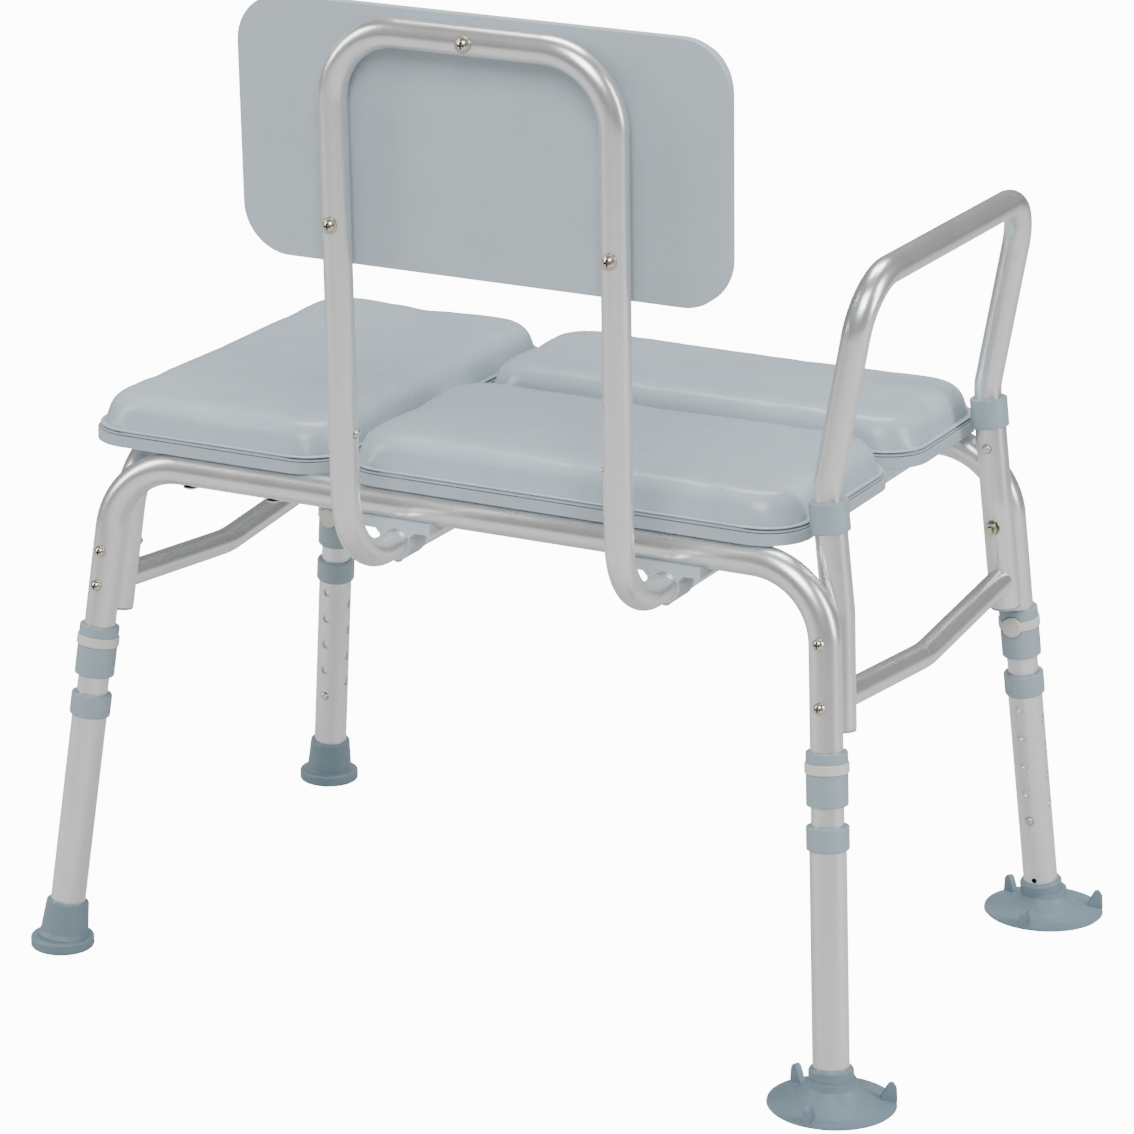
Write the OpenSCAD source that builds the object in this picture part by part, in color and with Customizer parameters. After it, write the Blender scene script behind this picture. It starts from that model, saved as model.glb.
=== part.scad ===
// Bath transfer bench: two bent side rails on four splayed, height-adjustable legs,
// a three-cushion seat, a lift-off backrest and a lift-out arm handle at one end.
// +Z is up, the user faces -Y, the handle is at -X and the open end at +X.

/* [Rails] */
// Height of the rail axis above the floor, legs at their shortest
rail_z = 410; // [340:1:500]
// Half the length of a rail between its two bend corners
rail_half_x = 306.5; // [270:0.5:380]
// Half the distance between the two rails
rail_half_y = 185.5; // [150:0.5:230]
// Outer diameter of the rail, post and inner leg tube
rail_d = 25.4; // [22.2:0.1:28]
// Wall of the rail tube
rail_wall = 1.6; // [1.2:0.1:2.2]
// Centreline radius of the rail bends
rail_bend_r = 62; // [50:1:80]

/* [Legs] */
// How far a foot stands outside its rail's corner, along the bench
foot_out_x = 36.5; // [20:0.5:60]
// How far a foot stands outside its rail, across the bench
foot_out_y = 40.5; // [20:0.5:60]
// Outer diameter of the outer leg tube
leg_d = 28.6; // [28.4:0.1:35]
// Radial play between the inner and outer leg tubes
leg_play = 0.08; // [0.03:0.01:0.1]
// Distance between height settings
hole_pitch = 25.4; // [20:0.1:31]
// Number of height steps above the lowest setting
hole_steps = 4; // [2:1:4]
// Diameter of the height holes
hole_d = 8; // [7:0.1:9]
// Diameter of a snap button
button_d = 7.2; // [6:0.1:7.6]
// Height of the leg coupler
coupler_h = 42; // [38:1:48]
// Thickness of the leg coupler outside the rail tube
coupler_t = 3.5; // [3:0.1:5]
// Height of the collar on the outer leg tube
collar_h = 19; // [16:1:24]
// Thickness of the collar outside the outer leg tube
collar_t = 2.3; // [2:0.1:4]

/* [Feet] */
// Diameter of a suction cup
cup_d = 100; // [80:1:120]
// Height of a suction cup
cup_h = 25; // [22:1:40]
// Diameter of a rubber ferrule's base
ferrule_d = 52; // [42:1:64]
// Height of a rubber ferrule
ferrule_h = 40; // [34:1:50]

/* [End frames] */
// Gap between a leg and the post bolted to it
post_gap = 0.4; // [0.3:0.1:1]
// Drop of a post's lower end below the rail axis
post_foot_drop = 127; // [112:1:135]
// Drop of the lower bolts below the rail axis
low_bolt_drop = 102.5; // [96:0.5:110]
// Drop of the upper bolts at the arm end
arm_bolt_drop = 54; // [50:1:66]
// Drop of the upper bolts at the open end
open_bolt_drop = 74; // [66:1:80]
// Drop of a crossbar's middle below its ends
crossbar_sag = 16; // [0:1:25]
// Outer diameter of the crossbars
crossbar_d = 21; // [19:0.1:22.2]
// Centreline radius of the hoop's bends
hoop_bend_r = 48; // [40:1:60]

/* [Arm handle] */
// Outer diameter of the arm tube
arm_d = 22.2; // [19:0.1:22.4]
// Height of the handle's top bar above the rail axis
arm_rise = 218.5; // [190:0.5:290]
// Height of the top of the arm posts above the rail axis
post_rise = 46; // [40:1:56]
// Height at which the handle starts to flare outward, above the post's top
flare_rise = 11; // [10:1:30]
// How far the handle's top bar stands outside its posts
arm_flare = 24.5; // [8:0.5:40]
// Centreline radius of the handle's bends
arm_bend_r = 44; // [35:1:60]

/* [Seat] */
// How far the seat stops short of the rail's corner at the arm end
seat_arm_short = 24.5; // [23:0.5:36]
// How far the seat runs past the rail's corner at the open end
seat_open_past = 31.5; // [20:0.5:90]
// Place of the seam across the bench
seam_x = 110; // [90:1:130]
// How far the seat's front edge runs past the rail axis
seat_front_past = 26.5; // [15:0.5:50]
// How far the seat's rear edge runs past the rail axis
seat_rear_past = 7.5; // [4:0.5:50]
// Gap between the two cushions at the arm end
seam_gap_y = 18; // [6:1:24]
// Middle of that gap, measured forwards
seam_mid_y = 31; // [20:1:45]
// Gap between the open-end cushion and the other two
seam_gap_x = 4; // [2:1:8]
// Thickness of a seat board
board_h = 9; // [6:0.5:12]
// Height of a seat cushion above its board
pad_h = 29; // [20:1:45]
// Corner radius of the seat boards
seat_corner_r = 38; // [25:1:45]

/* [Backrest] */
// Outer diameter of the backrest tubes
back_d = 22.2; // [19:0.1:22.4]
// Wall of the backrest tubes
back_wall = 1.4; // [1:0.1:2]
// Middle of the backrest, from the bench's middle towards the arm
back_mid_x = 65; // [40:0.5:90]
// Half the distance between the backrest tubes
back_half_x = 115; // [95:0.5:140]
// Drop of the sockets below the rail axis
socket_drop = 29; // [28:0.5:32]
// Outer diameter of the socket tubes
socket_d = 25.4; // [25:0.1:26]
// Radial play of a backrest post in its socket
socket_play = 0.1; // [0.05:0.01:0.1]
// How far the sockets' mouths stand outside the rail axis
mouth_past = 13.5; // [13:0.5:40]
// Centreline radius of the backrest post's bend
back_bend_r = 62; // [60:1:90]
// Lean of the backrest
back_lean = 3.6; // [0:0.1:8]
// Height of the joint between backrest and posts, above the rail axis
joint_rise = 62; // [54:1:70]
// Height of the backrest tube's top run above the rail axis
back_rise = 396; // [330:1:450]
// Radius of the backrest tube's corners
back_corner_r = 55; // [40:1:70]
// Width of the back panel
panel_w = 401; // [340:1:460]
// Height of the back panel
panel_h = 200; // [160:1:240]
// Thickness of the back board
back_board_t = 8; // [6:0.5:10]
// Thickness of the back cushion
back_pad_t = 16; // [12:1:32]
// Corner radius of the back panel
panel_r = 38; // [20:1:60]

/* [Hidden] */
$fn = 40;

// Colours
aluminium = [0.80, 0.80, 0.79];
grey_blue = [0.66, 0.73, 0.77];
blue_plastic = [0.55, 0.64, 0.69];
rubber_blue = [0.46, 0.55, 0.61];
ivory = [0.83, 0.82, 0.78];
nickel = [0.72, 0.70, 0.66];
spring_steel = [0.62, 0.63, 0.65];

// Fits and small gaps
fit = 0.05;         // one fixed piece on another
loose = 0.3;        // pieces that move past each other
over = 1;           // how far a cut runs past a face
rest_gap = 0.02;    // a piece that rests on a curved face

// Heights above the floor, legs at their shortest
post_foot_z = rail_z - post_foot_drop;
low_bolt_z = rail_z - low_bolt_drop;
arm_bolt_z = rail_z - arm_bolt_drop;
open_bolt_z = rail_z - open_bolt_drop;
post_bend_z = rail_z - 38;
post_top_z = rail_z + post_rise;
flare_z = post_top_z + flare_rise;
post_top_x = rail_half_x - 7.5;
arm_top_x = post_top_x + arm_flare;
arm_top_z = rail_z + arm_rise;
arm_button_z = rail_z + 8;
socket_z = rail_z - socket_drop;
joint_z = rail_z + joint_rise;
back_top_z = rail_z + back_rise;
panel_low = back_top_z - 184;

mouth_y = rail_half_y + mouth_past;
mouth_straight = 16; // straight part of a backrest post outside its socket
back_screw_out = 4.2; // back screw's head and washer

foot_half_x = rail_half_x + foot_out_x;
foot_half_y = rail_half_y + foot_out_y;

// The bench is placed so that the middle of its outline is over the origin
back_axis_y = mouth_y + mouth_straight + back_bend_r * tan((90 - back_lean) / 2);
back_top_y = back_axis_y + (back_top_z - socket_z) * tan(back_lean);
outline_x = [-foot_half_x - cup_d / 2, foot_half_x + ferrule_d / 2];
outline_y = [
  -foot_half_y - cup_d / 2,
  max(back_top_y + (back_d / 2 + back_screw_out) * cos(back_lean), foot_half_y + cup_d / 2)
];
middle = [-(outline_x[0] + outline_x[1]) / 2, -(outline_y[0] + outline_y[1]) / 2, 0];

// Legs: lean and splay, and places measured down a leg from its corner
lean_slope = (foot_half_x - rail_half_x) / rail_z;
splay_slope = (foot_half_y - rail_half_y) / rail_z;
splay = atan(splay_slope);
lean = atan(lean_slope * cos(splay));
leg_length = rail_z / (cos(lean) * cos(splay));
per_height = leg_length / rail_z;
floor_gap = 8;                                   // outer tube to floor, inside the tip
tube_foot = leg_length - floor_gap * per_height;
coupler_top = post_foot_drop * per_height + 9.6; // just below the post
clip_s = coupler_top + 12.6;                     // middle of the ring clip
coupler_foot = coupler_top + coupler_h;
collar_top = coupler_foot + 15.4;
tube_top = collar_top + 1.6;
button_s = collar_top + collar_h - 3.1 + (hole_steps + 0.5) * hole_pitch; // snap button, lowest setting
clip_h = 8.6;
clip_disc_d = 17;
stub_end = clip_s + 14;                          // end of the rail inside the coupler
column_top = stub_end + 0.5;
column_end = button_s + 24;
coupler_d = rail_d + 2 * coupler_t;
collar_d = leg_d + 2 * collar_t;
leg_bore = rail_d + 2 * leg_play;
leg_wall = (leg_d - leg_bore) / 2;
button_out = 2.2;                                // a button's height above the tube it comes through
button_flange_t = 1.2;
flange_drop = 1.9;                               // a button's flange below the inside of its tube

// End frames
post_side = rail_d + post_gap;                   // leg axis to post axis
plug_lip = 2;
bolt_d = 6;
bolt_head_d = 9.4;
bolt_head_h = 3.2;
washer_d = 13;
washer_t = 1.2;
nut_d = 10;
nut_h = 5;
thread_out = 3;
crossbar_z = low_bolt_z - 1.5;
bushing_d = rail_d + 5.1;
bushing_h = 24;
bushing_z = post_top_z + 2 - bushing_h;
arm_in = 62;                                     // length of the handle inside a post

// Sockets
socket_bore = back_d + 2 * socket_play;
bracket_ring_d = socket_d + 2.6;
bracket_len = 2 * (mouth_y - rail_half_y) - 1;
bracket_w = 62;
bracket_h = 8.4;
bracket_top = rail_z - rail_d / 2 + 2.8;
bracket_screw_x = 23.5;
bracket_fillet = 4;                              // fillet between bar and ring
saddle_clear = 0.05;
socket_button_y = mouth_y - 7;
post_in = 74;                                    // length of a backrest post inside its socket
neck_h = 44;                                     // backrest post inside the backrest tube
neck_d = back_d - 2 * back_wall - 2 * 0.08;
back_button_up = 20;                             // button above the joint

// Seat
seat_arm_x = rail_half_x - seat_arm_short;
seat_open_x = rail_half_x + seat_open_past;
seat_front_y = rail_half_y + seat_front_past;
seat_rear_y = rail_half_y + seat_rear_past;
seat_z = rail_z + rail_d / 2 + rest_gap;
board_inset = 1.5;
pad_foot_inset = 1.2;
pad_shoulder = [8, 11];                          // inset, and depth below the top
pad_top_inset = 21;
strap_t = 3;
strap_w = 28;
strap_half = rail_half_y - rail_d / 2 - 6;
strap_x = [-258, -60, 70];
seat_screw_d = 5;
seat_head_d = 11;
seat_head_h = 3;
open_screw_x = [seam_x + 54, rail_half_x - rail_bend_r - 4.5];
hoop_screw_y = 70;

leg_signs = [[1, 1], [1, -1], [-1, 1], [-1, -1]];
back_x = [-back_mid_x + back_half_x, -back_mid_x - back_half_x];

// ---------- directions and tubes ----------
function unit(v) = v / norm(v);
function turn_between(u, w) = acos(max(-1, min(1, u * w)));
function leg_top(sx, sy) = [sx * rail_half_x, sy * rail_half_y, rail_z];
function leg_dir(sx, sy) = unit([sx * lean_slope, sy * splay_slope, -1]);
function leg_at(sx, sy, s) = leg_top(sx, sy) + leg_dir(sx, sy) * s;
function leg_at_z(sx, sy, z) = leg_at(sx, sy, (rail_z - z) * per_height);
function post_at_z(sx, sy, z) = leg_at_z(sx, sy, z) - [0, sy * post_side / cos(splay), 0];
function step_dir(path, i) = unit(path[i + 1] - path[i]);
function trim(path, bends, i) =
  i == 0 || i == len(path) - 1 ? 0
  : bends[i] * tan(turn_between(step_dir(path, i - 1), step_dir(path, i)) / 2);

module at_middle() translate(middle) children();

// Turns +Z of the children to a direction
module pointing(p, dir)
  translate(p) rotate([0, acos(max(-1, min(1, dir[2]))), atan2(dir[1], dir[0])]) children();

module rod(p, q, d) pointing(p, unit(q - p)) cylinder(h = norm(q - p), d = d);

// Straight parts run a little way into the bends, which are a hair thicker, so the two join
lap = 0.6;
hair = 0.1;

// One bend: an arc of a torus from direction u to direction w at corner p
module bend(p, u, w, r, d) {
  turn = turn_between(u, w);
  n = unit(w - u * (w * u));
  c = p - u * (r * tan(turn / 2)) + n * r;
  z = cross(-n, u);
  multmatrix([
    [-n[0], u[0], z[0], c[0]],
    [-n[1], u[1], z[1], c[1]],
    [-n[2], u[2], z[2], c[2]],
    [0, 0, 0, 1]
  ]) rotate_extrude(angle = turn) translate([r, 0]) circle(d = d + hair);
}

// A round bar that follows a path, with a bend radius at each inner point
module bent_bar(path, bends, d, longer = 0) {
  last = len(path) - 1;
  for (i = [0 : last - 1]) {
    u = step_dir(path, i);
    start = path[i] + u * (i == 0 ? -longer : trim(path, bends, i) - lap);
    end = path[i + 1] - u * (i + 1 == last ? -longer : trim(path, bends, i + 1) - lap);
    rod(start, end, d);
  }
  for (i = [1 : last - 1])
    bend(path[i], step_dir(path, i - 1), step_dir(path, i), bends[i], d);
}

module bent_tube(path, bends, d, wall) {
  difference() {
    bent_bar(path, bends, d);
    bent_bar(path, bends, d - 2 * wall, over);
  }
}

// Places children on a leg: -Z runs down the leg, +Y faces the bench's middle
module on_leg(sx, sy)
  translate(leg_top(sx, sy)) rotate([sy * splay, 0, 0]) rotate([0, -sx * lean, 0])
    rotate([0, 0, sy > 0 ? 180 : 0]) children();

// A bar through a leg and its post, square to the leg
module through_leg(sx, sy, z, d, from, to)
  translate(leg_at_z(sx, sy, z)) rotate([sy * splay, 0, 0])
    rotate([sy * 90, 0, 0]) translate([0, 0, from]) cylinder(h = to - from, d = d);

// A round bar with a domed end, along +Z
module dome_pin(d, h) {
  rotate_extrude()
    intersection() {
      union() {
        square([d / 2, h - d / 4]);
        translate([0, h - d / 4]) scale(1) circle(d = d * 0.5);
        translate([0, h - d / 2]) square([d / 4, d / 2]);
        translate([d / 4, h - d / 4]) circle(d = d * 0.5);
      }
      square([d, h]);
    }
}

// A rounded rectangle between two corners
module rounded(x0, x1, y0, y1, r) {
  translate([x0 + r, y0]) square([x1 - x0 - 2 * r, y1 - y0]);
  translate([x0, y0 + r]) square([x1 - x0, y1 - y0 - 2 * r]);
  for (x = [x0 + r, x1 - r], y = [y0 + r, y1 - r]) translate([x, y]) circle(r = r);
}

// ---------- side rails ----------
function rail_path(sy) = [
  leg_at(1, sy, stub_end), leg_top(1, sy), leg_top(-1, sy), leg_at(-1, sy, stub_end)
];

module rail(sy) {
  color(aluminium) at_middle() difference() {
    bent_tube(rail_path(sy), [0, rail_bend_r, rail_bend_r, 0], rail_d, rail_wall);
    for (sx = [1, -1], z = [low_bolt_z, sx > 0 ? open_bolt_z : arm_bolt_z])
      through_leg(sx, sy, z, bolt_d + 2 * loose, -rail_d, rail_d);
    for (sx = [1, -1])
      on_leg(sx, sy) translate([0, 0, -clip_s]) rotate([-90, 0, 0])
        cylinder(h = rail_d, d = button_d + 2 * loose);
    for (x = rail_screw_x(sy)) translate([x, sy * rail_half_y, 0])
      cylinder(h = rail_z * 2, d = seat_screw_d + 2 * loose);
  }
}

function bracket_screws() = [for (x = back_x, s = [1, -1]) x + s * bracket_screw_x];
function rail_screw_x(sy) = concat(bracket_screws(), open_screw_x);

module rear_rail() rail(1);
module front_rail() rail(-1);

// ---------- end frames ----------
function hoop_foot(sy) = post_at_z(1, sy, post_foot_z);
function hoop_corner(sy) = post_at_z(1, sy, rail_z);

module bolt_holes(sx, sy, zs)
  for (z = zs) through_leg(sx, sy, z, bolt_d + 2 * loose, -rail_d * 3, rail_d * 2);

module open_end_hoop() {
  color(aluminium) at_middle() difference() {
    bent_tube([hoop_foot(1), hoop_corner(1), hoop_corner(-1), hoop_foot(-1)],
      [0, hoop_bend_r, hoop_bend_r, 0], rail_d, rail_wall);
    for (sy = [1, -1]) bolt_holes(1, sy, [low_bolt_z, open_bolt_z]);
    for (s = [1, -1]) translate([rail_half_x, s * hoop_screw_y, 0])
      cylinder(h = rail_z * 2, d = seat_screw_d + 2 * loose);
  }
}

function arm_post_foot(sy) = post_at_z(-1, sy, post_foot_z);
function arm_post_knee(sy) = post_at_z(-1, sy, post_bend_z);
function arm_post_top(sy) = [-post_top_x, arm_post_knee(sy)[1], post_top_z];
function arm_post_dir(sy) = unit(arm_post_top(sy) - arm_post_knee(sy));
function arm_post_at(sy, z) =
  arm_post_knee(sy) + (arm_post_top(sy) - arm_post_knee(sy)) * (z - post_bend_z)
  / (post_top_z - post_bend_z);

module arm_post(sy) {
  color(aluminium) at_middle() difference() {
    bent_tube([arm_post_foot(sy), arm_post_knee(sy), arm_post_top(sy)],
      [0, rail_bend_r, 0], rail_d, (rail_d - arm_d) / 2 - leg_play);
    bolt_holes(-1, sy, [low_bolt_z, arm_bolt_z]);
    translate(arm_post_at(sy, arm_button_z)) rotate([sy * 90, 0, 0])
      cylinder(h = rail_d, d = hole_d);
  }
}
module arm_post_rear() arm_post(1);
module arm_post_front() arm_post(-1);

// Crossbar: a shallow V between the two posts of one end, coped to them
module crossbar(sx) {
  end = post_at_z(sx, 1, crossbar_z);
  path = [end, [end[0], 0, crossbar_z - crossbar_sag], [end[0], -end[1], crossbar_z]];
  color(aluminium) at_middle() difference() {
    bent_tube(path, [0, rail_bend_r * 2, 0], crossbar_d, rail_wall);
    for (sy = [1, -1]) {
      rod(post_at_z(sx, sy, post_foot_z), post_at_z(sx, sy, open_bolt_z), rail_d + 2 * fit);
      bolt_holes(sx, sy, [low_bolt_z]);
    }
  }
}
module open_crossbar() crossbar(1);
module arm_crossbar() crossbar(-1);

module post_plug(p, dir, bore) {
  pointing(p, -dir) translate([0, 0, rest_gap]) cylinder(h = plug_lip, d = rail_d - 0.4);
  pointing(p, dir) translate([0, 0, -0.2]) cylinder(h = 8, d = bore - 2 * fit);
}
module post_plugs() {
  color(blue_plastic) at_middle() for (sy = [1, -1]) {
    post_plug(hoop_foot(sy), unit(hoop_corner(sy) - hoop_foot(sy)), rail_d - 2 * rail_wall);
    post_plug(arm_post_foot(sy), unit(arm_post_knee(sy) - arm_post_foot(sy)),
      arm_d + 2 * leg_play);
  }
}

// Bushings over the tops of the arm posts, which guide the handle
module arm_bushings() {
  color(blue_plastic) at_middle() for (sy = [1, -1]) {
    top = arm_post_at(sy, post_top_z);
    pointing(arm_post_at(sy, bushing_z), arm_post_dir(sy)) {
      lip = norm(top - arm_post_at(sy, bushing_z));
      difference() {
        rotate_extrude() rounded_wall(bushing_d / 2, bushing_h / arm_post_dir(sy)[2], 1.2);
        translate([0, 0, -over]) cylinder(h = lip + over, d = rail_d + 2 * fit);
        cylinder(h = bushing_h * 2, d = arm_d + 2 * leg_play);
      }
    }
  }
}
// Half section of a short cylinder with rounded outer edges
module rounded_wall(r, h, e) {
  square([r - e, h]);
  translate([0, e]) square([r, h - 2 * e]);
  for (z = [e, h - e]) translate([r - e, z]) circle(r = e);
}

// ---------- bolts of the frame ----------
module frame_bolts() {
  color(nickel) at_middle() for (leg = leg_signs) {
    sx = leg[0];
    sy = leg[1];
    upper = sx > 0 ? open_bolt_z : arm_bolt_z;
    head = -rail_d / 2 - hair / 2 - rest_gap;
    reach = post_side + rail_d / 2;
    for (z = [low_bolt_z, upper]) {
      end = reach + (z == upper ? washer_t + nut_h + thread_out : nut_h + thread_out);
      through_leg(sx, sy, z, bolt_d, head - 1, end);
      pan_head(sx, sy, z, head);
    }
  }
}
// Pan head with a cross recess, on the outer side of a leg
module pan_head(sx, sy, z, at)
  translate(leg_at_z(sx, sy, z)) rotate([sy * splay, 0, 0]) rotate([-sy * 90, 0, 0])
    translate([0, 0, -at]) difference() {
      union() {
        cylinder(h = washer_t, d = bolt_head_d);
        translate([0, 0, washer_t]) dome_head(bolt_head_d, bolt_head_h);
      }
      cross_recess(bolt_head_h + washer_t, bolt_head_d * 0.5);
    }
module dome_head(d, h) {
  ball_r = (d * d / 4 + h * h) / (2 * h);
  intersection() {
    translate([0, 0, h - ball_r]) sphere(r = ball_r);
    cylinder(h = h, d = d);
  }
}
module cross_recess(top, w)
  for (a = [0, 90]) rotate([0, 0, a])
    translate([-w / 2, -0.6, top - 1.8]) cube([w, 1.2, 3]);

module frame_nuts() {
  color(nickel) at_middle() for (leg = leg_signs) {
    sx = leg[0];
    sy = leg[1];
    z = sx > 0 ? open_bolt_z : arm_bolt_z;
    seat = post_side + rail_d / 2 + rest_gap;
    translate(leg_at_z(sx, sy, z)) rotate([sy * splay, 0, 0]) rotate([sy * 90, 0, 0])
      difference() {
        union() {
          translate([0, 0, seat]) cylinder(h = washer_t, d = washer_d);
          translate([0, 0, seat + washer_t]) cylinder(h = nut_h, d = nut_d * 2 / sqrt(3), $fn = 6);
        }
        cylinder(h = seat * 2, d = bolt_d + 2 * fit);
      }
  }
}

// ---------- leg stacks ----------
module leg_couplers() {
  color(blue_plastic) at_middle() for (leg = leg_signs) on_leg(leg[0], leg[1])
    difference() {
      translate([0, 0, -coupler_foot])
        rotate_extrude() rounded_wall(coupler_d / 2, coupler_h, 1.2);
      translate([0, 0, -coupler_foot - over]) cylinder(h = coupler_h + 2 * over, d = rail_d + 2 * fit);
      translate([0, 0, -clip_s - clip_h / 2]) difference() {
        cylinder(h = clip_h, d = coupler_d + over);
        translate([0, 0, -over]) cylinder(h = clip_h + 2 * over, d = coupler_d - 3);
      }
      translate([0, 0, -clip_s]) rotate([-90, 0, 0]) {
        cylinder(h = coupler_d, d = button_d);
        translate([0, 0, coupler_d / 2 - 1.9]) cylinder(h = coupler_d, d = clip_disc_d + 1);
      }
    }
}

module ring_clips() {
  color(ivory) at_middle() for (leg = leg_signs) on_leg(leg[0], leg[1])
    translate([0, 0, -clip_s]) {
      difference() {
        translate([0, 0, -clip_h / 2 + 0.2])
          rotate_extrude() rounded_wall(coupler_d / 2 + 1, clip_h - 0.4, 1);
        translate([0, 0, -clip_h]) cylinder(h = clip_h * 2, d = coupler_d - 3 + 2 * fit);
      }
      rotate([-90, 0, 0]) {
        translate([0, 0, coupler_d / 2 - 1.7]) dome_disc(clip_disc_d, 3.8);
        translate([0, 0, rail_d / 2 - rail_wall - 2]) cylinder(h = 6.5, d = button_d - 0.6);
      }
    }
}
module dome_disc(d, h) rotate_extrude() rounded_wall(d / 2, h, 1);

module leg_columns() {
  color(aluminium) at_middle() for (leg = leg_signs) on_leg(leg[0], leg[1])
    difference() {
      translate([0, 0, -column_end]) cylinder(h = column_end - column_top, d = rail_d);
      translate([0, 0, -column_end - over])
        cylinder(h = column_end - column_top + 2 * over, d = rail_d - 2 * rail_wall);
      translate([0, 0, -button_s]) rotate([-90, 0, 0]) cylinder(h = rail_d, d = hole_d);
    }
}

// A snap button: domed pin with a flange that stays inside the tube, along +Z from the tube's axis
module snap_button(r_in, r_out) {
  translate([0, 0, r_in - button_flange_t - flange_drop])
    cylinder(h = button_flange_t, d = button_d + 2.8);
  translate([0, 0, r_in - 2.6]) dome_pin(button_d, r_out + button_out - r_in + 2.6);
}

// A V of spring strip behind a button, along +Z from the tube's axis; its free legs run along +X
module v_spring(r_in, length) {
  strip_w = 7;
  strip_t = 0.8;
  reach = r_in - button_flange_t - flange_drop - strip_t;
  rotate([90, 0, 0]) translate([0, 0, -strip_w / 2]) linear_extrude(strip_w) {
    translate([-6, reach - 0.05]) square([length / 3, strip_t]);
    polygon([[length / 3 - 6.5, reach - 0.05 + strip_t], [length / 3 - 6, reach - 0.05],
      [length, strip_t], [length, 2 * strip_t]]);
    polygon([[length, 0], [length, 2 * strip_t], [-4, 2 * strip_t - reach], [-4, strip_t - reach]]);
  }
}

module leg_button(sx, sy)
  color(spring_steel) at_middle() on_leg(sx, sy) translate([0, 0, -button_s])
    rotate([-90, 0, 0]) snap_button(rail_d / 2 - rail_wall, leg_d / 2);
module leg_button_rear_open() leg_button(1, 1);
module leg_button_front_open() leg_button(1, -1);
module leg_button_rear_arm() leg_button(-1, 1);
module leg_button_front_arm() leg_button(-1, -1);

module leg_springs() {
  color(spring_steel) at_middle() for (leg = leg_signs) on_leg(leg[0], leg[1])
    translate([0, 0, -button_s]) rotate([-90, 0, 0]) rotate([0, 0, -90])
      v_spring(rail_d / 2 - rail_wall, 34);
}

module leg_tube(sx, sy) {
  color(aluminium) at_middle() on_leg(sx, sy) difference() {
    translate([0, 0, -tube_foot]) cylinder(h = tube_foot - tube_top, d = leg_d);
    translate([0, 0, -tube_foot - over])
      cylinder(h = tube_foot - tube_top + 2 * over, d = leg_bore);
    for (i = [0 : hole_steps])
      translate([0, 0, -button_s + i * hole_pitch]) rotate([-90, 0, 0])
        cylinder(h = leg_d, d = hole_d);
    for (i = [0 : hole_steps - 1])
      translate([0, 0, -button_s + (i + 0.5) * hole_pitch]) rotate([0, -90, 0])
        cylinder(h = leg_d, d = hole_d);
    translate([0, 0, -tube_foot + 25.5]) rotate([-90, 0, 0]) cylinder(h = leg_d, d = 4.5);
  }
}
module leg_tube_rear_open() leg_tube(1, 1);
module leg_tube_front_open() leg_tube(1, -1);
module leg_tube_rear_arm() leg_tube(-1, 1);
module leg_tube_front_arm() leg_tube(-1, -1);

module leg_collar(sx, sy) {
  color(blue_plastic) at_middle() on_leg(sx, sy) difference() {
    translate([0, 0, -collar_top - collar_h])
      rotate_extrude() rounded_wall(collar_d / 2, collar_h, 1.6);
    translate([0, 0, -collar_top - collar_h - over])
      cylinder(h = collar_h + over - (tube_top - collar_top) + rest_gap, d = leg_d + 2 * fit);
    translate([0, 0, -collar_top - collar_h]) cylinder(h = collar_h + over, d = rail_d + 2 * loose);
  }
}
module leg_collar_rear_open() leg_collar(1, 1);
module leg_collar_front_open() leg_collar(1, -1);
module leg_collar_rear_arm() leg_collar(-1, 1);
module leg_collar_front_arm() leg_collar(-1, -1);

// The socket that a tip gives to its leg tube
module tip_socket(sx, sy)
  on_leg(sx, sy) translate([0, 0, -tube_foot - rest_gap]) cylinder(h = tube_foot, d = leg_d + 2 * fit);
module above_floor() translate([-2000, -2000, 0]) cube([4000, 4000, 1000]);

module ferrule(sx, sy) {
  foot = [sx * foot_half_x, sy * foot_half_y, 0];
  base_h = 10;
  neck_r = leg_d / 2 + 3.1;
  color(rubber_blue) at_middle() difference() {
    union() {
      translate(foot) rotate_extrude() rounded_wall(ferrule_d / 2, base_h, 2.4);
      intersection() {
        on_leg(sx, sy) translate([0, 0, -leg_length]) rotate_extrude() {
          polygon([[0, -4], [neck_r + 4, -4], [neck_r + 4, base_h], [neck_r + 2.2, base_h + 4],
            [neck_r, ferrule_h - 1.2], [neck_r - 1, ferrule_h], [0, ferrule_h]]);
        }
        above_floor();
      }
    }
    tip_socket(sx, sy);
  }
}
module ferrule_rear_open() ferrule(1, 1);
module ferrule_front_open() ferrule(1, -1);

// Suction cup: a shallow bell with a raised neck and three release tabs round its rim
module suction_cup(sx, sy) {
  foot = [sx * foot_half_x, sy * foot_half_y, 0];
  r = cup_d / 2;
  neck_r = leg_d / 2 + 3.3;
  cup_hollow = 3.4;
  color(rubber_blue) at_middle() difference() {
    union() {
      translate(foot) rotate_extrude() polygon(concat(
        [[0, cup_hollow], [r - 16, cup_hollow - 0.4], [r - 7, 0], [r - 1.2, 0], [r, 1.2], [r - 0.4, 3]],
        [for (a = [0 : 15 : 90]) [r - 3 - (r - neck_r - 4) * sin(a), 3 + (cup_h - 6) * (1 - cos(a))]],
        [[0, cup_h - 3]]));
      intersection() {
        on_leg(sx, sy) translate([0, 0, -leg_length]) rotate_extrude()
          polygon([[0, cup_hollow + 2], [neck_r, cup_hollow + 2], [neck_r, cup_h + 3],
            [neck_r - 1.2, cup_h + 5], [0, cup_h + 5]]);
        above_floor();
      }
      for (a = [90, 210, 330]) translate(foot) rotate([0, 0, a]) cup_tab(r);
    }
    tip_socket(sx, sy);
  }
}
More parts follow.
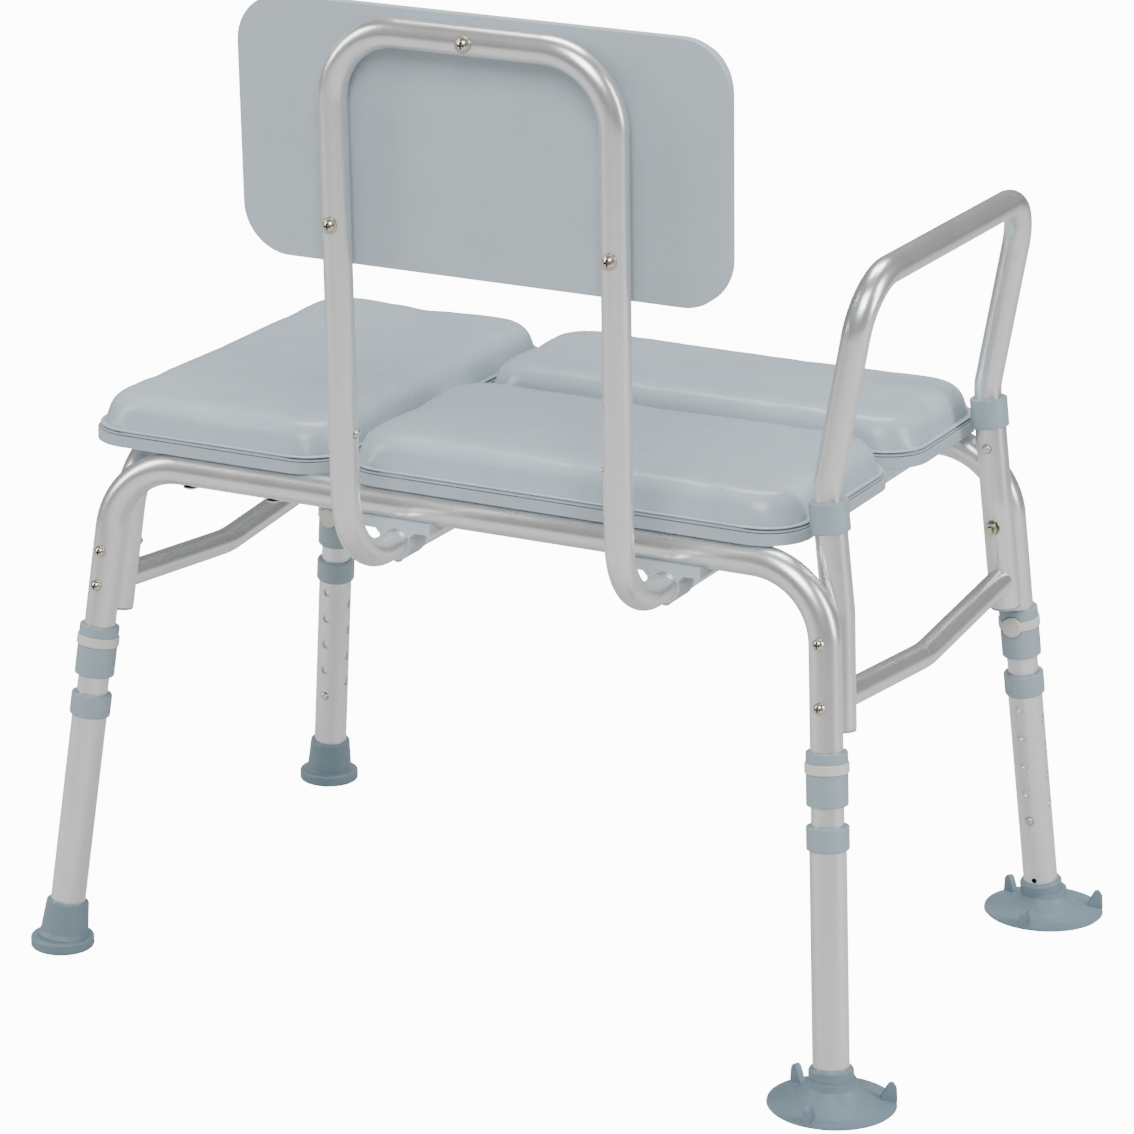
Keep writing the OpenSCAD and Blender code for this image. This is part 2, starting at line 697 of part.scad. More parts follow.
module cup_tab(r) {
  translate([r - 13, 2.6, 1.5]) rotate([90, 0, 0]) linear_extrude(5.2) {
    square([13, 3]);
    polygon([[0, 3], [13, 3], [12.5, 12], [10, 15.5], [7, 15.5], [4.5, 12]]);
  }
}
module suction_cup_rear_arm() suction_cup(-1, 1);
module suction_cup_front_arm() suction_cup(-1, -1);

// ---------- sockets under the seat ----------
module back_sockets() {
  color(aluminium) at_middle() for (x = back_x) difference() {
    rod([x, -mouth_y, socket_z], [x, mouth_y, socket_z], socket_d);
    rod([x, -mouth_y - over, socket_z], [x, mouth_y + over, socket_z], socket_bore);
    translate([x, socket_button_y, socket_z - socket_d]) cylinder(h = socket_d, d = hole_d);
  }
}

// The web between the bar and the ring of a bracket, drawn about the ring's middle
module bracket_neck(top) {
  half = bracket_ring_d / 2;
  polygon([[-half - bracket_fillet + 1, top], [half + bracket_fillet - 1, top],
    [half - 0.8, top - bracket_fillet], [half - 1.4, 0], [1.4 - half, 0],
    [0.8 - half, top - bracket_fillet]]);
}

// Bracket that hangs a socket tube under a rail: a saddle bar and a ring, with fillets between
module socket_bracket(x, sy) {
  y = sy * rail_half_y;
  ring_y = [y - bracket_len / 2, y + bracket_len / 2];
  difference() {
    union() {
      rod([x, ring_y[0], socket_z], [x, ring_y[1], socket_z], bracket_ring_d);
      translate([x - bracket_w / 2, ring_y[0], bracket_top - bracket_h])
        cube([bracket_w, bracket_len, bracket_h]);
      translate([x, ring_y[1], socket_z]) rotate([90, 0, 0]) linear_extrude(bracket_len)
        bracket_neck(bracket_top - bracket_h - socket_z);
    }
    rod([x, ring_y[0] - over, socket_z], [x, ring_y[1] + over, socket_z], socket_d + 2 * fit);
    rod([x - bracket_w, y, rail_z], [x + bracket_w, y, rail_z], rail_d + 2 * saddle_clear);
    translate([x, sy * socket_button_y, 0]) cylinder(h = socket_z, d = hole_d + 1);
    for (s = [1, -1]) translate([x + s * bracket_screw_x, y, 0])
      cylinder(h = rail_z, d = seat_screw_d + 2 * loose);
  }
}
module socket_brackets() {
  color(grey_blue) at_middle() for (x = back_x, sy = [1, -1]) socket_bracket(x, sy);
}

module socket_caps() {
  color(blue_plastic) at_middle() for (x = back_x) {
    rod([x, -mouth_y - 2, socket_z], [x, -mouth_y - rest_gap, socket_z], socket_d);
    rod([x, -mouth_y - 1, socket_z], [x, -mouth_y + 9, socket_z], socket_bore - 2 * fit);
  }
}

// ---------- seat ----------
module seat_board(x0, x1, y0, y1)
  translate([0, 0, seat_z]) linear_extrude(board_h)
    rounded(x0, x1, y0, y1, seat_corner_r);

// A cushion as a plain block with drafted sides and an eased top edge, along +Z from its board
module cushion_block(x0, x1, y0, y1, r, h, shoulder, top) {
  sheet = 0.6;
  foot = pad_foot_inset;
  hull() for (step = [[foot, 0], [shoulder[0], h - shoulder[1]], [top, h - sheet]])
    translate([0, 0, step[1]]) linear_extrude(sheet)
      rounded(x0 + step[0], x1 - step[0], y0 + step[0], y1 - step[0], r - step[0] * 0.7, $fn = 32);
}

module seat_pad(x0, x1, y0, y1) translate([0, 0, seat_z + board_h])
  cushion_block(x0, x1, y0, y1, seat_corner_r, pad_h, pad_shoulder, pad_top_inset);

open_pad = [seam_x + seam_gap_x / 2, seat_open_x, -seat_front_y, seat_rear_y];
rear_pad = [-seat_arm_x, seam_x - seam_gap_x / 2, -seam_mid_y + seam_gap_y / 2, seat_rear_y];
front_pad = [-seat_arm_x, seam_x - seam_gap_x / 2, -seat_front_y, -seam_mid_y - seam_gap_y / 2];

module seat_board_of(p, screws) color(grey_blue) at_middle() difference() {
  seat_board(p[0], p[1], p[2], p[3]);
  for (s = screws) translate([s[0], s[1], seat_z - over])
    cylinder(h = board_h - 1 + over, d = seat_screw_d + 2 * fit);
}
module seat_pad_of(p) color(grey_blue) at_middle() seat_pad(p[0], p[1], p[2], p[3]);

function rail_screws(sy, xs) = [for (x = xs) [x, sy * rail_half_y]];
function hoop_screws() = [for (s = [1, -1]) [rail_half_x, s * hoop_screw_y]];
function strap_screw_y() = [strap_half - 12, 12, -seam_mid_y - 36, -strap_half + 12];
function strap_screws(ys) = [for (x = strap_x, y = ys) [x, y]];

module seat_board_open()
  seat_board_of(open_pad,
    concat(rail_screws(1, open_screw_x), rail_screws(-1, open_screw_x), hoop_screws()));
module seat_board_rear()
  seat_board_of(rear_pad, concat(rail_screws(1, bracket_screws()),
    strap_screws([strap_screw_y()[0], strap_screw_y()[1]])));
module seat_board_front()
  seat_board_of(front_pad, concat(rail_screws(-1, bracket_screws()),
    strap_screws([strap_screw_y()[2], strap_screw_y()[3]])));
module seat_pad_open() seat_pad_of(open_pad);
module seat_pad_rear() seat_pad_of(rear_pad);
module seat_pad_front() seat_pad_of(front_pad);

// Flat straps that join the two arm-end boards between the rails
module seat_straps() {
  color(aluminium) at_middle() for (x = strap_x) difference() {
    translate([x - strap_w / 2, -strap_half, seat_z - strap_t])
      cube([strap_w, 2 * strap_half, strap_t]);
    for (y = strap_screw_y()) translate([x, y, 0]) cylinder(h = seat_z, d = seat_screw_d + 2 * fit);
  }
}

// A screw that comes up into a board from a height below it
module seat_screw(p, from) {
  translate([p[0], p[1], from - seat_head_h]) rotate([0, 0, 0]) difference() {
    union() {
      translate([0, 0, seat_head_h - 1]) cylinder(h = 1, d = seat_head_d + 1.5);
      mirror([0, 0, 1]) translate([0, 0, -seat_head_h + 1]) dome_head(seat_head_d, seat_head_h - 1);
    }
    mirror([0, 0, 1]) cross_recess(1, seat_head_d * 0.5);
  }
  translate([p[0], p[1], from - 1]) cylinder(h = seat_z + board_h - 2 - from + 1, d = seat_screw_d);
}
module seat_screws() {
  under_rail = rail_z - rail_d / 2 - rest_gap;
  color(nickel) at_middle() {
    for (sy = [1, -1]) {
      for (p = rail_screws(sy, open_screw_x)) seat_screw(p, under_rail);
      for (p = rail_screws(sy, bracket_screws())) seat_screw(p, bracket_top - bracket_h - rest_gap);
    }
    for (p = hoop_screws()) seat_screw(p, under_rail);
    for (p = strap_screws(strap_screw_y())) seat_screw(p, seat_z - strap_t - rest_gap);
  }
}

// ---------- arm handle ----------
flare_dir_x = (arm_top_x - arm_post_x(flare_z)) / (arm_top_z - flare_z);
function arm_post_x(z) = -arm_post_at(1, z)[0];
function arm_end(sy) = arm_post_at(sy, post_top_z) - arm_post_dir(sy) * arm_in;
function arm_knee(sy) = arm_post_at(sy, flare_z);
function arm_corner(sy) = [-arm_top_x, arm_post_at(sy, flare_z)[1], arm_top_z];

module arm_handle() {
  wall = 1.5;
  path = [arm_end(1), arm_knee(1), arm_corner(1), arm_corner(-1), arm_knee(-1), arm_end(-1)];
  color(aluminium) at_middle() difference() {
    bent_tube(path, [0, arm_bend_r, arm_bend_r, arm_bend_r, arm_bend_r, 0], arm_d, wall);
    for (sy = [1, -1]) translate(arm_post_at(sy, arm_button_z)) rotate([sy * 90, 0, 0])
      cylinder(h = rail_d, d = hole_d);
  }
}
module arm_button(sy)
  color(spring_steel) at_middle() translate(arm_post_at(sy, arm_button_z))
    rotate([sy * 90, 0, 0]) snap_button(arm_d / 2 - 1.5, rail_d / 2);
module arm_button_rear() arm_button(1);
module arm_button_front() arm_button(-1);
module arm_springs() {
  tilt = asin(arm_post_dir(1)[0]);
  color(spring_steel) at_middle() for (sy = [1, -1])
    translate(arm_post_at(sy, arm_button_z)) rotate([0, tilt, 0]) rotate([sy * 90, 0, 0])
      rotate([0, 0, sy * 90]) v_spring(arm_d / 2 - 1.5, 30);
}

// ---------- backrest ----------
// Points in the leaning plane of the backrest tubes
function back_point(x, z) = [x, back_axis_y + (z - socket_z) * tan(back_lean), z];
back_up = [0, sin(back_lean), cos(back_lean)];

module back_post(i) {
  x = back_x[i];
  inner = [x, mouth_y - post_in, socket_z];
  corner = back_point(x, socket_z);
  shoulder = back_point(x, joint_z);
  color(aluminium) at_middle() difference() {
    union() {
      bent_bar([inner, corner, shoulder], [0, back_bend_r, 0], back_d);
      rod(shoulder - back_up, shoulder + back_up * neck_h, neck_d);
    }
    bent_bar([inner, corner, shoulder - back_up * 4], [0, back_bend_r, 0],
      back_d - 2 * back_wall, over);
    rod(shoulder - back_up * 4, shoulder + back_up * (neck_h + over), neck_d - 2 * back_wall);
    neck_hole(i);
    translate([x, socket_button_y, socket_z - back_d]) cylinder(h = back_d, d = hole_d);
  }
}
// Children face the bench's middle from the axis of a backrest tube, at its button
module at_neck(i)
  translate(back_point(back_x[i], joint_z) + back_up * back_button_up)
    rotate([-back_lean, 0, 0]) rotate([0, i == 0 ? -90 : 90, 0]) children();
module neck_hole(i) at_neck(i) cylinder(h = back_d, d = hole_d);

module back_post_open() back_post(0);
module back_post_arm() back_post(1);

module back_button(i)
  color(spring_steel) at_middle() at_neck(i) snap_button(neck_d / 2 - back_wall, back_d / 2);
module back_button_open() back_button(0);
module back_button_arm() back_button(1);

module at_socket_button(i)
  translate([back_x[i], socket_button_y, socket_z]) rotate([180, 0, 0]) children();
module socket_button(i)
  color(spring_steel) at_middle() at_socket_button(i)
    snap_button(back_d / 2 - back_wall, bracket_ring_d / 2);
module socket_button_open() socket_button(0);
module socket_button_arm() socket_button(1);

module back_springs() {
  color(spring_steel) at_middle() for (i = [0, 1]) {
    at_neck(i) rotate([0, 0, i == 0 ? 180 : 0]) v_spring(neck_d / 2 - back_wall, 26);
    at_socket_button(i) rotate([0, 0, 90]) v_spring(back_d / 2 - back_wall, 30);
  }
}

module back_tube() {
  low = joint_z + rest_gap;
  path = [back_point(back_x[0], low), back_point(back_x[0], back_top_z),
    back_point(back_x[1], back_top_z), back_point(back_x[1], low)];
  color(aluminium) at_middle() difference() {
    bent_tube(path, [0, back_corner_r, back_corner_r, 0], back_d, back_wall);
    for (i = [0, 1]) neck_hole(i);
    for (p = back_screw_points()) back_screw_hole(p);
  }
}

// The panel leans with the tubes: its own frame has +Z up the panel and +Y backwards
module on_panel()
  translate(back_point(-back_mid_x, panel_low)) rotate([-back_lean, 0, 0]) children();
function back_screw_points() = [
  [0, (back_top_z - panel_low) / cos(back_lean)],
  [back_half_x, 35],
  [-back_half_x, 35]
];
back_screw_reach = back_d / 2 + back_board_t - 2;
module back_screw_hole(p) on_panel()
  translate([p[0], back_d, p[1]]) rotate([90, 0, 0])
    cylinder(h = back_d + back_screw_reach + 0.5, d = 5 + 2 * loose);

module panel_slab(y, t, inset) on_panel()
  translate([0, y, 0]) rotate([90, 0, 0]) linear_extrude(t)
    rounded(-panel_w / 2 + inset, panel_w / 2 - inset, inset, panel_h - inset, panel_r - inset);

module back_board() {
  color(grey_blue) at_middle() difference() {
    panel_slab(-back_d / 2 - rest_gap, back_board_t, 0);
    for (p = back_screw_points()) back_screw_hole(p);
  }
}
module back_pad() {
  front = back_d / 2 + rest_gap + back_board_t;
  color(grey_blue) at_middle() on_panel() translate([0, -front, 0]) rotate([90, 0, 0])
    cushion_block(-panel_w / 2, panel_w / 2, 0, panel_h, panel_r, back_pad_t,
      [back_pad_t * 0.12, back_pad_t * 0.35], back_pad_t * 0.5);
}
module back_screws() {
  color(nickel) at_middle() for (p = back_screw_points()) on_panel()
    translate([p[0], back_d / 2 + rest_gap, p[1]]) {
      difference() {
        union() {
          rotate([-90, 0, 0]) cylinder(h = washer_t, d = washer_d);
          rotate([-90, 0, 0]) translate([0, 0, washer_t]) dome_head(10, 3);
        }
        rotate([-90, 0, 0]) cross_recess(washer_t + 3, 5.4);
      }
      rotate([90, 0, 0]) translate([0, 0, -1]) cylinder(h = back_d + back_board_t - 2, d = 5);
    }
}

rear_rail();
front_rail();
open_end_hoop();
arm_post_rear();
arm_post_front();
open_crossbar();
arm_crossbar();
post_plugs();
arm_bushings();
back_sockets();
socket_brackets();
socket_caps();
leg_couplers();
ring_clips();
leg_columns();
leg_springs();
frame_bolts();
frame_nuts();
seat_screws();
seat_straps();
seat_board_open();
seat_board_rear();
seat_board_front();
seat_pad_open();
seat_pad_rear();
seat_pad_front();
leg_tube_rear_open();
leg_tube_front_open();
leg_tube_rear_arm();
leg_tube_front_arm();
leg_collar_rear_open();
leg_collar_front_open();
leg_collar_rear_arm();
leg_collar_front_arm();
ferrule_rear_open();
ferrule_front_open();
suction_cup_rear_arm();
suction_cup_front_arm();
leg_button_rear_open();
leg_button_front_open();
leg_button_rear_arm();
leg_button_front_arm();
arm_handle();
arm_springs();
arm_button_rear();
arm_button_front();
back_post_open();
back_post_arm();
back_springs();
back_button_open();
back_button_arm();
socket_button_open();
socket_button_arm();
back_tube();
back_board();
back_pad();
back_screws();
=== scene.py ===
import math
import bmesh
import bpy
from mathutils import Matrix, Vector


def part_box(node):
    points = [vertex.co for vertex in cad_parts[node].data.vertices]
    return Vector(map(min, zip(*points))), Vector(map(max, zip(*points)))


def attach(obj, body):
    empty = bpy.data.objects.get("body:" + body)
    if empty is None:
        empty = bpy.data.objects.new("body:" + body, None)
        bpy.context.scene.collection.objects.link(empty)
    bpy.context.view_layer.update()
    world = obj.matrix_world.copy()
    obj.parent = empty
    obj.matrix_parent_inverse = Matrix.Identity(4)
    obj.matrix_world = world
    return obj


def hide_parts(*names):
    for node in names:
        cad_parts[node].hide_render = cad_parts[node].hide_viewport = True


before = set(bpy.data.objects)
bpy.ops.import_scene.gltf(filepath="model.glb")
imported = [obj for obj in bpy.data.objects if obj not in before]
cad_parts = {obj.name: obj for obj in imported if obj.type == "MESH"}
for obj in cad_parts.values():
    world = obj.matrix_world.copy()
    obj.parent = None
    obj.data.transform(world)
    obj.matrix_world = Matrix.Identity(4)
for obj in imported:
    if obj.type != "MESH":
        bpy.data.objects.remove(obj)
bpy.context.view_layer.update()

# Camera and image: a long lens looks down at the rear of the arm end, as when
# someone stands behind the bench.
camera_data = bpy.data.cameras.new("camera")
camera_data.sensor_width = 36.0
camera_data.lens = 152.55
camera_data.shift_x = 0.00252
camera_data.clip_start = 0.1
camera_data.clip_end = 100.0
camera = bpy.data.objects.new("camera", camera_data)
bpy.context.scene.collection.objects.link(camera)
camera_azimuth = math.radians(206.0)
camera_elevation = math.radians(17.6)
camera_roll = math.radians(0.763)
camera_spot = Vector((-1.61822, 3.32258, 1.49391))
camera_back = Vector((math.sin(camera_azimuth) * math.cos(camera_elevation),
                      -math.cos(camera_azimuth) * math.cos(camera_elevation),
                      math.sin(camera_elevation)))
camera_right = (-camera_back).cross(Vector((0, 0, 1))).normalized()
camera_up = camera_right.cross(-camera_back)
camera_turn = Matrix((
    math.cos(camera_roll) * camera_right + math.sin(camera_roll) * camera_up,
    -math.sin(camera_roll) * camera_right + math.cos(camera_roll) * camera_up,
    camera_back)).transposed()
camera.matrix_world = Matrix.Translation(camera_spot) @ camera_turn.to_4x4()
bpy.context.scene.camera = camera

# Floor: a plain white sheet that runs up out of view. It glows for the camera only,
# so that the ground stays light and keeps a faint shadow under the feet.
bpy.ops.object.select_all(action="DESELECT")
bpy.ops.mesh.primitive_plane_add(size=40, location=(0, 0, 0))
floor = bpy.context.object
floor.name = "floor"
floor_paint = bpy.data.materials.new("floor_paint")
floor_paint.use_nodes = True
floor_shader = floor_paint.node_tree.nodes["Principled BSDF"]
floor_shader.inputs["Base Color"].default_value = (0.6, 0.6, 0.6, 1)
floor_shader.inputs["Roughness"].default_value = 0.9
floor_shader.inputs["Specular IOR Level"].default_value = 0.1
floor_shader.inputs["Emission Color"].default_value = (1, 1, 1, 1)
floor_view = floor_paint.node_tree.nodes.new("ShaderNodeLightPath")
floor_glow = floor_paint.node_tree.nodes.new("ShaderNodeMapRange")
floor_glow.inputs["To Min"].default_value = 0.0
floor_glow.inputs["To Max"].default_value = 12.0
floor_links = floor_paint.node_tree.links
floor_links.new(floor_view.outputs["Is Camera Ray"], floor_glow.inputs["Value"])
floor_links.new(floor_glow.outputs["Result"], floor_shader.inputs["Emission Strength"])
floor.data.materials.append(floor_paint)

# Studio light: an even white room, a large soft light over the camera's left
# shoulder, one on each side and one high over the seat.
world = bpy.data.worlds.new("studio")
bpy.context.scene.world = world
world.use_nodes = True
world.node_tree.nodes["Background"].inputs["Color"].default_value = (1.0, 1.0, 1.0, 1)
world.node_tree.nodes["Background"].inputs["Strength"].default_value = 0.28


def soft_light(name, place, aim, size, power):
    data = bpy.data.lights.new(name, "AREA")
    data.shape = "RECTANGLE"
    data.size, data.size_y = size
    data.energy = power
    lamp = bpy.data.objects.new(name, data)
    lamp.location = place
    lamp.rotation_mode = "QUATERNION"
    lamp.rotation_quaternion = (Vector(aim) - Vector(place)).to_track_quat("-Z", "Y")
    bpy.context.scene.collection.objects.link(lamp)


soft_light("key_light", (-1.0, 2.4, 2.8), (0, 0, 0.4), (1.6, 1.6), 92)
soft_light("side_light", (-3.0, -0.2, 1.6), (0, 0, 0.4), (0.8, 2.2), 58)
soft_light("far_light", (2.6, 1.4, 1.8), (0, 0, 0.4), (0.8, 2.2), 50)
soft_light("top_light", (0.2, -0.8, 3.0), (0, 0, 0.4), (1.6, 1.2), 62)


# Rails, hoop and crossbars: bent extruded aluminium tube with a satin anodised
# finish, fine grain and a slightly uneven shade. The rails carry the seat boards,
# the hoop stands at the open end, and the crossbars tie the posts of each end.
def mottled(name, shade, dark, cloud_scale, cloud_detail, rough, grain_scale, relief):
    """A finish whose shade and roughness vary in soft clouds, with a fine grain in relief."""
    m = bpy.data.materials.new(name)
    m.use_nodes = True
    nodes, links = m.node_tree.nodes, m.node_tree.links
    shader = nodes["Principled BSDF"]
    place = nodes.new("ShaderNodeTexCoord")
    cloud = nodes.new("ShaderNodeTexNoise")
    cloud.inputs["Scale"].default_value = cloud_scale
    cloud.inputs["Detail"].default_value = cloud_detail
    links.new(place.outputs["Object"], cloud.inputs["Vector"])
    tint = nodes.new("ShaderNodeValToRGB")
    tint.color_ramp.elements[0].position = 0.3
    tint.color_ramp.elements[0].color = (*[dark * part for part in shade], 1)
    tint.color_ramp.elements[1].position = 0.7
    tint.color_ramp.elements[1].color = (*shade, 1)
    links.new(cloud.outputs["Fac"], tint.inputs["Fac"])
    links.new(tint.outputs["Color"], shader.inputs["Base Color"])
    sheen = nodes.new("ShaderNodeMapRange")
    sheen.inputs["To Min"].default_value = rough[0]
    sheen.inputs["To Max"].default_value = rough[1]
    links.new(cloud.outputs["Fac"], sheen.inputs["Value"])
    links.new(sheen.outputs["Result"], shader.inputs["Roughness"])
    grain = nodes.new("ShaderNodeTexNoise")
    grain.inputs["Scale"].default_value = grain_scale
    grain.inputs["Detail"].default_value = 2.0
    links.new(place.outputs["Object"], grain.inputs["Vector"])
    bump = nodes.new("ShaderNodeBump")
    bump.inputs["Strength"].default_value = relief
    bump.inputs["Distance"].default_value = 0.0004
    links.new(grain.outputs["Fac"], bump.inputs["Height"])
    links.new(bump.outputs["Normal"], shader.inputs["Normal"])
    return m


def tube_finish(name, shade, roughness):
    m = mottled(name, shade, 0.96, 40.0, 4.0, (roughness - 0.04, roughness + 0.05), 900.0, 0.05)
    m.node_tree.nodes["Principled BSDF"].inputs["Metallic"].default_value = 0.9
    return m


def paint(material, *names):
    for name in names:
        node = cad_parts[name]
        node.data.materials.clear()
        node.data.materials.append(material)


tube_satin = tube_finish("anodised_satin", (0.80, 0.80, 0.795), 0.28)
paint(tube_satin, "rear_rail", "front_rail", "open_end_hoop", "open_crossbar", "arm_crossbar")

# Arm posts: two bent tubes bolted to the legs of the arm end, of the same satin
# tube, which the handle slides into.
paint(tube_satin, "arm_post_rear", "arm_post_front")

# Sockets and straps: two straight tubes under the seat that take the backrest, and
# three flat bars that join the two boards of the arm end.
paint(tube_satin, "back_sockets", "seat_straps")

# Legs: an inner column that comes out of each rail's coupler and an outer tube with
# two rows of height holes that slides over it, brushed a little finer than the rails.
leg_satin = tube_finish("leg_satin", (0.84, 0.84, 0.835), 0.33)
paint(leg_satin, "leg_columns", "leg_tube_rear_open", "leg_tube_front_open",
      "leg_tube_rear_arm", "leg_tube_front_arm")


# Couplers, collars, bushings and plugs: moulded grey-blue plastic with a fine
# spark-eroded texture. The couplers and collars guide the legs, the bushings guide
# the handle, and the plugs close the tube ends.
def plastic_finish(name, shade, roughness, grain_scale=1500.0):
    rough = (roughness - 0.05, roughness + 0.05)
    m = mottled(name, shade, 0.95, 25.0, 3.0, rough, grain_scale, 0.06)
    m.node_tree.nodes["Principled BSDF"].inputs["Specular IOR Level"].default_value = 0.45
    return m


collar_blue = plastic_finish("collar_blue", (0.30, 0.385, 0.43), 0.42)
paint(collar_blue, "leg_couplers", "post_plugs", "arm_bushings", "socket_caps",
      "leg_collar_rear_open", "leg_collar_front_open", "leg_collar_rear_arm",
      "leg_collar_front_arm")

# Ring clips: sprung ivory plastic rings with a round disc, snapped into the groove
# of each coupler.
ivory_plastic = plastic_finish("ivory_plastic", (0.66, 0.65, 0.60), 0.45)
paint(ivory_plastic, "ring_clips")

# Feet: two moulded rubber ferrules at the open end and two suction cups with release
# tabs at the arm end, pushed onto the leg tubes.
tip_rubber = plastic_finish("tip_rubber", (0.17, 0.24, 0.29), 0.48, 900.0)
paint(tip_rubber, "ferrule_rear_open", "ferrule_front_open", "suction_cup_rear_arm",
      "suction_cup_front_arm")

# Socket brackets: paler moulded plastic, screwed up under the rails.
bracket_blue = plastic_finish("bracket_blue", (0.50, 0.58, 0.64), 0.45)
paint(bracket_blue, "socket_brackets")


# Bolts, nuts and screws: nickel-plated steel with a warm tint, with painted shade
# that darkens the corners of the recesses; they hold the frame, the boards and the back panel.
def metal_finish(name, bright, dark, roughness, reach):
    m = bpy.data.materials.new(name)
    m.use_nodes = True
    nodes, links = m.node_tree.nodes, m.node_tree.links
    shader = nodes["Principled BSDF"]
    shader.inputs["Metallic"].default_value = 1.0
    shader.inputs["Roughness"].default_value = roughness
    # Painted shade: ambient occlusion blends the base colour from bright to dark in recesses
    # within reach.
    painted_recess_shade = nodes.new("ShaderNodeAmbientOcclusion")
    painted_recess_shade.inputs["Distance"].default_value = reach
    tint = nodes.new("ShaderNodeValToRGB")
    tint.color_ramp.elements[0].position = 0.35
    tint.color_ramp.elements[0].color = (*dark, 1)
    tint.color_ramp.elements[1].position = 0.85
    tint.color_ramp.elements[1].color = (*bright, 1)
    links.new(painted_recess_shade.outputs["AO"], tint.inputs["Fac"])
    links.new(tint.outputs["Color"], shader.inputs["Base Color"])
    return m


nickel = metal_finish("nickel", (0.62, 0.57, 0.47), (0.05, 0.04, 0.03), 0.22, 0.002)
paint(nickel, "frame_bolts", "frame_nuts", "seat_screws", "back_screws")

# Snap buttons and their V springs: bright sprung steel, inside the tubes, with painted shade
# darkening their recesses.
spring_bright = metal_finish("spring_bright", (0.66, 0.66, 0.67), (0.20, 0.20, 0.20), 0.2, 0.001)
paint(spring_bright, "leg_springs", "arm_springs", "back_springs", "arm_button_rear",
      "arm_button_front", "leg_button_rear_open", "leg_button_front_open", "leg_button_rear_arm",
      "leg_button_front_arm", "back_button_open", "back_button_arm", "socket_button_open",
      "socket_button_arm")

# Seat boards: three moulded grey-blue boards screwed onto the rails and straps.
board_blue = plastic_finish("board_blue", (0.40, 0.47, 0.52), 0.4)
paint(board_blue, "seat_board_open", "seat_board_rear", "seat_board_front")

# Seat cushions: three foam pads under a smooth vinyl skin, glued to the boards. The
# sides lean in, the top edge is a soft round and the top swells into a low crown.
vinyl = plastic_finish("cushion_skin", (0.42, 0.50, 0.55), 0.27, 1100.0)


def choose(block, kind, wanted):
    """Selects, in edit mode, only the edges or faces that wanted() picks."""
    bpy.ops.mesh.select_all(action="DESELECT")
    cage = bmesh.from_edit_mesh(block.data)
    for item in getattr(cage, kind):
        if wanted(item):
            item.select_set(True)
    bmesh.update_edit_mesh(block.data)


def rounded_block(name, width, depth, height, corner, lean, ease):
    """A block on its base: round upright corners, sides that lean in and an eased top edge."""
    bpy.ops.object.select_all(action="DESELECT")
    bpy.ops.mesh.primitive_cube_add(size=1, location=(0, 0, 0))
    block = bpy.context.object
    block.name = name
    block.scale = (width, depth, height)
    block.location = (0, 0, height / 2)
    bpy.ops.object.transform_apply(location=True, rotation=True, scale=True)
    bpy.ops.object.mode_set(mode="EDIT")
    choose(block, "edges", lambda e: abs(e.verts[0].co.z - e.verts[1].co.z) > height / 2)
    bpy.ops.mesh.bevel(offset=corner, segments=10, affect="EDGES")
    if lean > 0:
        choose(block, "faces", lambda f: f.normal.z > 0.9)
        narrower = ((width - 2 * lean) / width, (depth - 2 * lean) / depth, 1)
        bpy.ops.transform.resize(value=narrower, center_override=(0, 0, height))
    if ease > 0:
        choose(block, "edges", lambda e: min(v.co.z for v in e.verts) > height * 0.9)
        bpy.ops.mesh.bevel(offset=ease, segments=6, affect="EDGES")
    bpy.ops.object.mode_set(mode="OBJECT")
    return block


def swell(pad, cap, grip):
    """Fills the pad with air as a cloth balloon, then caps how far each point moved: not at all
    near the base, and up to cap from grip upwards."""
    remesh = pad.modifiers.new("remesh", "REMESH")
    remesh.mode = "VOXEL"
    remesh.voxel_size = 0.005
    bpy.ops.object.select_all(action="DESELECT")
    pad.select_set(True)
    bpy.context.view_layer.objects.active = pad
    bpy.ops.object.modifier_apply(modifier="remesh")
    start = [v.co.copy() for v in pad.data.vertices]
    air = pad.modifiers.new("air", "CLOTH")
    air.settings.use_pressure = True
    air.settings.uniform_pressure_force = 4
    air.settings.effector_weights.gravity = 0
    for number in range(1, 21):
        bpy.context.scene.frame_set(number)
    bpy.ops.object.modifier_apply(modifier="air")
    bpy.context.scene.frame_set(1)
    for vertex, first in zip(pad.data.vertices, start):
        held = min(1.0, max(0.0, (first.z - 0.002) / grip))
        move = vertex.co - first
        limit = cap * held
        if move.length > limit:
            move = move * (limit / move.length)
        vertex.co = first + move
    smooth = pad.modifiers.new("smooth", "SMOOTH")
    smooth.factor = 0.5
    smooth.iterations = 4
    bpy.ops.object.modifier_apply(modifier="smooth")
    finer = pad.modifiers.new("finer", "SUBSURF")
    finer.levels = 1
    finer.render_levels = 1
    bpy.ops.object.modifier_apply(modifier="finer")
    bpy.ops.object.shade_smooth()


def place(piece, spot, turn, body, material, slot):
    """Puts a finished piece in its spot, with its material, on the body it moves with."""
    piece.location = spot
    piece.rotation_euler = turn
    bpy.ops.object.select_all(action="DESELECT")
    piece.select_set(True)
    bpy.context.view_layer.objects.active = piece
    bpy.ops.object.transform_apply(location=True, rotation=True, scale=True)
    piece.data.materials.clear()
    piece.data.materials.append(material)
    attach(piece, body)


for side in ("open", "rear", "front"):
    low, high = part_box("seat_pad_" + side)
    width, depth, height = high - low
    pad = rounded_block("seat_cushion_" + side, width - 0.002, depth - 0.002, height - 0.003,
                        0.037, 0.005, 0.012)
    swell(pad, 0.0035, 0.007)
    place(pad, ((low.x + high.x) / 2, (low.y + high.y) / 2, low.z), (0, 0, 0), "frame",
          vinyl, "cushion_vinyl")
    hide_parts("seat_pad_" + side)

